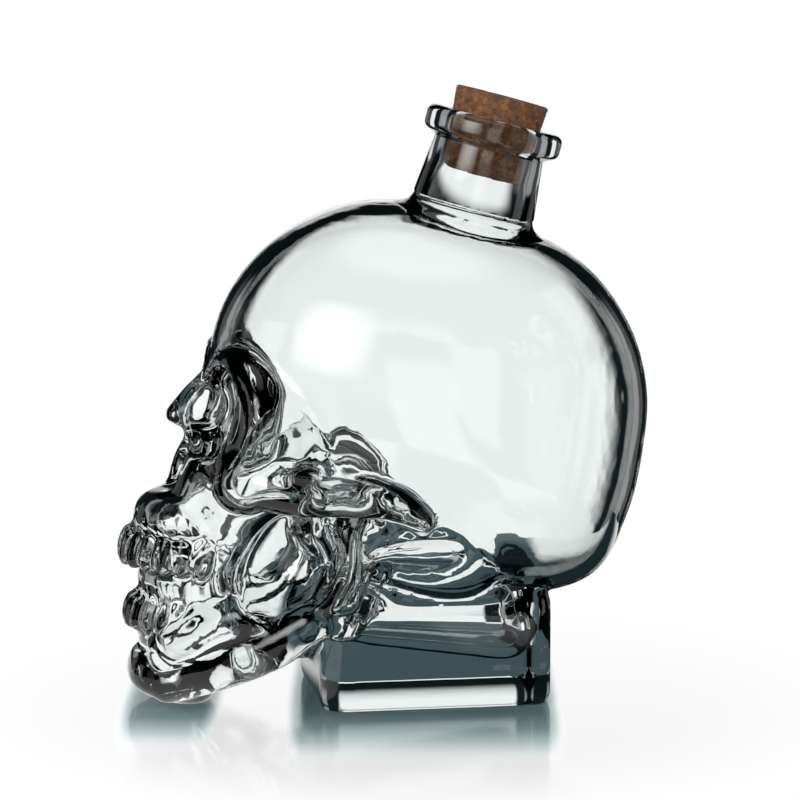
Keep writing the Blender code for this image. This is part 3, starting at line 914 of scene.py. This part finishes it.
def seen_in_glass(tree):
    """1 for a ray that the camera sees by way of glass alone, refracted or mirrored, and 0 for others."""
    rays = node(tree, "ShaderNodeLightPath").outputs
    glassy = maths(tree, "MAXIMUM", rays["Is Glossy Ray"], rays["Is Transmission Ray"])
    return maths(tree, "MULTIPLY", glassy, maths(tree, "LESS_THAN", rays["Diffuse Depth"], 0.5))


def panel_share(tree, way):
    """How bright the panels are in a direction: 1 in the middle of a panel and 0 between them, with every
    second panel dimmed."""
    parts = node(tree, "ShaderNodeSeparateXYZ", {0: way}).outputs
    bearing = maths(tree, "ARCTAN2", parts[0], maths(tree, "MULTIPLY", parts[1], -1.0))
    turn = maths(tree, "MULTIPLY_ADD", bearing, float(PANEL_COUNT), -PANEL_COUNT * CAMERA_AZIMUTH)
    lit = remapped(
        tree,
        maths(tree, "COSINE", turn),
        math.cos(PANEL_COUNT * PANEL_OUTER),
        math.cos(PANEL_COUNT * PANEL_INNER),
        interpolation_type="SMOOTHSTEP",
    )
    every_second = maths(tree, "COSINE", maths(tree, "MULTIPLY", turn, 0.5))
    dimmed = remapped(tree, every_second, -0.5, 0.5, SECOND_PANEL_SHARE, 1.0)
    return maths(tree, "MULTIPLY", lit, dimmed)


def soda_lime_glass():
    """Soda-lime glass, blown into an iron mould and fire-polished: clear and glossy, faintly rippled where
    the mould chilled it, with the teal of its iron in the thick edges."""
    material = bpy.data.materials.new("soda_lime_glass")
    tree = blank_tree(material)
    place = node(tree, "ShaderNodeTexCoord").outputs["Object"]
    # Mould chill: soft waves about 14 mm long, with finer ones of 4 mm
    waves = noise(tree, place, CHILL_WAVES, 1.0)
    ripples = noise(tree, place, CHILL_RIPPLES, 0.0)
    heights = maths(tree, "MULTIPLY_ADD", ripples, CHILL_RIPPLE_SHARE, waves)
    chill = node(tree, "ShaderNodeBump", {"Height": heights, "Strength": 0.05, "Distance": CHILL_DEPTH})
    body = node(
        tree,
        "ShaderNodeBsdfPrincipled",
        {
            "Base Color": paint("#fafdfc"),
            # Handling leaves the polish a little uneven
            "Roughness": remapped(tree, waves, 0.4, 0.7, 0.0, 0.003),
            "IOR": 1.52,
            "Transmission Weight": 1.0,
            "Normal": chill.outputs[0],
        },
    )
    iron = node(tree, "ShaderNodeVolumeAbsorption", {"Color": paint("#a4c4c2"), "Density": 3.0})
    node(tree, "ShaderNodeOutputMaterial", {"Surface": body.outputs[0], "Volume": iron.outputs[0]})
    return material


def agglomerated_cork():
    """Agglomerated cork: granules of about 2 mm pressed with a dark binder and turned, so each granule has
    its own brown, with darker seams, specks of bark and a dry matt skin."""
    material = bpy.data.materials.new("agglomerated_cork")
    tree = blank_tree(material)
    place = node(tree, "ShaderNodeTexCoord").outputs["Object"]
    edge, granule = granules(tree, place, CORK_SEED, 1 / CORK_GRANULE)
    tone = node(tree, "ShaderNodeSeparateColor", {0: granule}).outputs[1]
    browns = ((0.0, "#5f3f28"), (0.3, "#6b472d"), (0.6, "#734c2f"), (0.85, "#7b5232"), (1.0, "#875a37"))
    seam = remapped(tree, edge, 0.0, CORK_STAIN_SHARE, 0.4, 0.0)
    # Bark specks, about half a millimetre
    grit = noise(tree, place, BARK_SPECKS, 3.0)
    speck = remapped(tree, grit, 0.6, 0.7, 0.0, 0.7)
    dark = maths(tree, "MAXIMUM", seam, speck)
    relief = node(tree, "ShaderNodeBump", {"Height": grit, "Strength": 0.6, "Distance": BARK_DEPTH})
    body = node(
        tree,
        "ShaderNodeBsdfPrincipled",
        {
            "Base Color": mixed(tree, dark, ramped(tree, tone, browns), paint("#2a180e")),
            "Roughness": remapped(tree, grit, 0.0, 1.0, 0.75, 0.95),
            "IOR": 1.4,
            "Normal": relief.outputs[0],
        },
    )
    node(tree, "ShaderNodeOutputMaterial", {"Surface": body.outputs[0]})
    return material


def beyond_outline(tree, place, centre, half_sizes):
    """How far a point of the table lies beyond what stands on it, counted more to the sides, so that a
    shade painted by it runs along the photograph's line of sight."""
    off = vector_maths(tree, "ABSOLUTE", vector_maths(tree, "SUBTRACT", place, centre))
    off = vector_maths(tree, "MAXIMUM", vector_maths(tree, "SUBTRACT", off, half_sizes), (0, 0, 0))
    return length_of(tree, vector_maths(tree, "MULTIPLY", off, (PAINTED_SHADE_SIDE_FACTOR, 1, 0)))


def fade(tree, value, start, end):
    """1 up to the start, from there smoothly down to 0 at the end, and 0 past it. The end may be the lower
    of the two."""
    return remapped(tree, value, start, end, 1.0, 0.0, interpolation_type="SMOOTHSTEP")


def white_table():
    """White acrylic sheet, softly glossy, lit to plain white away from the carafe. Most of the shadow and
    reflection at foot and chin is painted shade, set by place and turned to the camera's azimuth, and the
    carafe casts only the rest. To the glass the table glows by itself: white, with a painted slate shade
    behind the foot and painted dark past it."""
    material = bpy.data.materials.new("white_acrylic_table")
    tree = blank_tree(material)
    place = node(tree, "ShaderNodeTexCoord").outputs["Object"]
    turned_view = {"Vector": place, "Angle": -CAMERA_AZIMUTH}
    place = node(tree, "ShaderNodeVectorRotate", turned_view, rotation_type="Z_AXIS").outputs[0]

    from_foot = beyond_outline(tree, place, (0, 0, 0), (LANE_INNER, LANE_DEPTH, 0))
    from_chin = beyond_outline(tree, place, CHIN_SPOT, CHIN_HALF_SIZES)
    reach = maths(tree, "MINIMUM", from_foot, from_chin)
    # Painted shadow and reflection of foot and chin, grey-teal at their outlines and white where it ends
    painted_shades = ((0.0, "#4b5c5e"), (0.3, "#6c7e80"), (0.6, "#aebabb"), (0.85, "#dde2e3"), (1.0, "#ffffff"))
    shade = ramped(tree, maths(tree, "DIVIDE", reach, PAINTED_SHADE_REACH), painted_shades)
    sheet = node(tree, "ShaderNodeBsdfDiffuse", {"Color": shade}).outputs[0]
    # The table glows by itself in its painted shade
    shade_glow = node(tree, "ShaderNodeEmission", {"Color": shade, "Strength": TABLE_SHADE_GLOW}).outputs[0]
    shaded = node(tree, "ShaderNodeAddShader", {0: sheet, 1: shade_glow}).outputs[0]
    white = node(tree, "ShaderNodeEmission", {"Color": paint("#ffffff"), "Strength": 1.0}).outputs[0]
    near = fade(tree, reach, PAINTED_SHADE_REACH / 2, PAINTED_SHADE_REACH)
    sheen = {"Color": paint("#ffffff"), "Roughness": 0.12}
    gloss = node(tree, "ShaderNodeBsdfAnisotropic", sheen).outputs[0]
    glossy = fade(tree, length_of(tree, place), GLOSS_INNER, GLOSS_OUTER)
    glossy = maths(tree, "MULTIPLY", glossy, GLOSS_SHARE)
    by_eye = layered(tree, glossy, layered(tree, near, white, shaded), gloss)
    rays = node(tree, "ShaderNodeLightPath").outputs
    plain = layered(tree, rays["Is Camera Ray"], sheet, by_eye)

    # What the glass sees of the table is painted and glows by itself: a slate shade in the lane, dark past
    # it
    across, away = node(tree, "ShaderNodeSeparateXYZ", {0: place}).outputs[:2]
    lane = fade(tree, maths(tree, "ABSOLUTE", across), LANE_INNER, LANE_OUTER)
    dark = fade(tree, maths(tree, "ABSOLUTE", away), DARK_INNER, DARK_OUTER)
    dark = maths(tree, "MULTIPLY", dark, fade(tree, across, -LANE_INNER, -LANE_OUTER))
    colour = mixed(tree, dark, paint("#ffffff"), paint("#1f2a2e"))
    colour = mixed(tree, lane, colour, paint("#46565b"))
    by_glass = node(tree, "ShaderNodeEmission", {"Color": colour, "Strength": 1.0}).outputs[0]
    both = layered(tree, seen_in_glass(tree), plain, by_glass)
    node(tree, "ShaderNodeOutputMaterial", {"Surface": both})
    return material


# The studio

def bearing_vector(azimuth, elevation):
    """The direction from the carafe to a place in the studio."""
    flat = math.cos(elevation)
    return Vector((math.sin(azimuth) * flat, -math.cos(azimuth) * flat, math.sin(elevation)))


def studio_world():
    """White behind the bottle, and in the glass a ring of bright panels under a lit ceiling, with dark
    slate between them, which draws the dark edges of clear glass."""
    world = bpy.data.worlds.new("studio")
    tree = blank_tree(world)
    way = node(tree, "ShaderNodeTexCoord").outputs["Generated"]
    height = node(tree, "ShaderNodeSeparateXYZ", {0: way}).outputs[2]
    soft = {"interpolation_type": "SMOOTHSTEP"}
    band = remapped(tree, height, *PANEL_TOP, PANEL_STRENGTH, 0.0, **soft)
    ceiling = remapped(tree, height, *CEILING_FOOT, 0.0, CEILING_STRENGTH, **soft)
    lit = maths(tree, "MULTIPLY", panel_share(tree, way), band)
    lit = maths(tree, "MAXIMUM", lit, ceiling)
    slate = ramped(tree, height, ((0.0, "#151d20"), (0.4, "#0c1214")))
    by_glass = mixed(tree, lit, slate, paint("#ffffff"), clamp_factor=False)
    rays = node(tree, "ShaderNodeLightPath").outputs
    plain = mixed(tree, rays["Is Camera Ray"], paint("#eef0f0"), paint("#ffffff"))
    seen = mixed(tree, seen_in_glass(tree), plain, by_glass)
    light = node(tree, "ShaderNodeBackground", {"Color": seen, "Strength": 1.0})
    node(tree, "ShaderNodeOutputWorld", {"Surface": light.outputs[0]})
    bpy.context.scene.world = world


def studio_floor():
    """A round table top under the carafe, a hair below it, as a real foot touches only here and there."""
    form = bmesh.new()
    below = Matrix.Translation((0, 0, -TABLE_GAP))
    bmesh.ops.create_circle(form, cap_ends=True, segments=TURN_STEPS, radius=TABLE_RADIUS, matrix=below)
    floor = new_object("table_top", form)
    floor.data.materials.append(white_table())


def studio_lamp():
    """A softbox that faces the middle of the carafe, with cloth that is brightest in its own middle."""
    light = bpy.data.lights.new("key_softbox", "AREA")
    light.size = LAMP_SIDE
    light.energy = LAMP_WATTS
    tree = blank_tree(light)
    cloth = node(tree, "ShaderNodeNewGeometry").outputs["Parametric"]
    parts = node(tree, "ShaderNodeSeparateXYZ", {0: cloth}).outputs
    across, up = (maths(tree, "SINE", maths(tree, "MULTIPLY", parts[i], math.pi)) for i in (0, 1))
    glow = maths(tree, "MULTIPLY", maths(tree, "MULTIPLY", across, up), LAMP_MIDDLE)
    shine = node(tree, "ShaderNodeEmission", {"Color": paint("#ffffff"), "Strength": glow})
    node(tree, "ShaderNodeOutputLight", {0: shine.outputs[0]})
    lamp = bpy.data.objects.new("key_softbox", light)
    bpy.context.scene.collection.objects.link(lamp)
    way = bearing_vector(LAMP_AZIMUTH, LAMP_ELEVATION)
    lamp.location = CAMERA_TARGET + way * LAMP_DISTANCE
    lamp.rotation_euler = way.to_track_quat("Z", "Y").to_euler()
    # The glass mirrors the box, but no box shows through it
    lamp.visible_transmission = False


def studio_camera():
    """The camera at the photograph's angle, far enough for its flat perspective."""
    lens = bpy.data.cameras.new("camera")
    lens.lens = lens.sensor_width * CAMERA_DISTANCE / CAMERA_FIELD
    camera = bpy.data.objects.new("camera", lens)
    bpy.context.scene.collection.objects.link(camera)
    way = bearing_vector(CAMERA_AZIMUTH, CAMERA_ELEVATION)
    camera.location = CAMERA_TARGET + way * CAMERA_DISTANCE
    camera.rotation_euler = way.to_track_quat("Z", "Y").to_euler()
    bpy.context.scene.camera = camera


def finished(piece, material, replaced, body):
    """Gives a piece its material and its smooth skin, parents it to its body and hides the CAD node it
    replaces.
    """
    piece.data.materials.clear()
    piece.data.materials.append(material)
    piece.data.shade_smooth()
    piece.data.set_sharp_from_angle(angle=SHARP_EDGE)
    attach(piece, body)
    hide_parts(replaced)


def main():
    """Sets up the studio and builds the carafe in it."""
    scene = bpy.context.scene
    scene.view_settings.view_transform = "Standard"
    # Enough refractions for both sides of the shell and the teeth behind each other. Light that the glass
    # mirrors more than once is left out, so its deep parts turn dark
    scene.cycles.max_bounces = 13
    scene.cycles.transmission_bounces = 12
    scene.cycles.glossy_bounces = 1
    studio_camera()
    studio_world()
    studio_floor()
    studio_lamp()
    lean = skull_place()
    neck_axis = lean @ Matrix.Translation((0, NECK_SETBACK, 0))
    glass = soda_lime_glass()
    cork = agglomerated_cork()
    finished(glass_bottle(lean, neck_axis, glass), glass, "glass_bottle", "bottle")
    finished(cork_stopper(neck_axis, cork), cork, "cork_stopper", "stopper")


main()
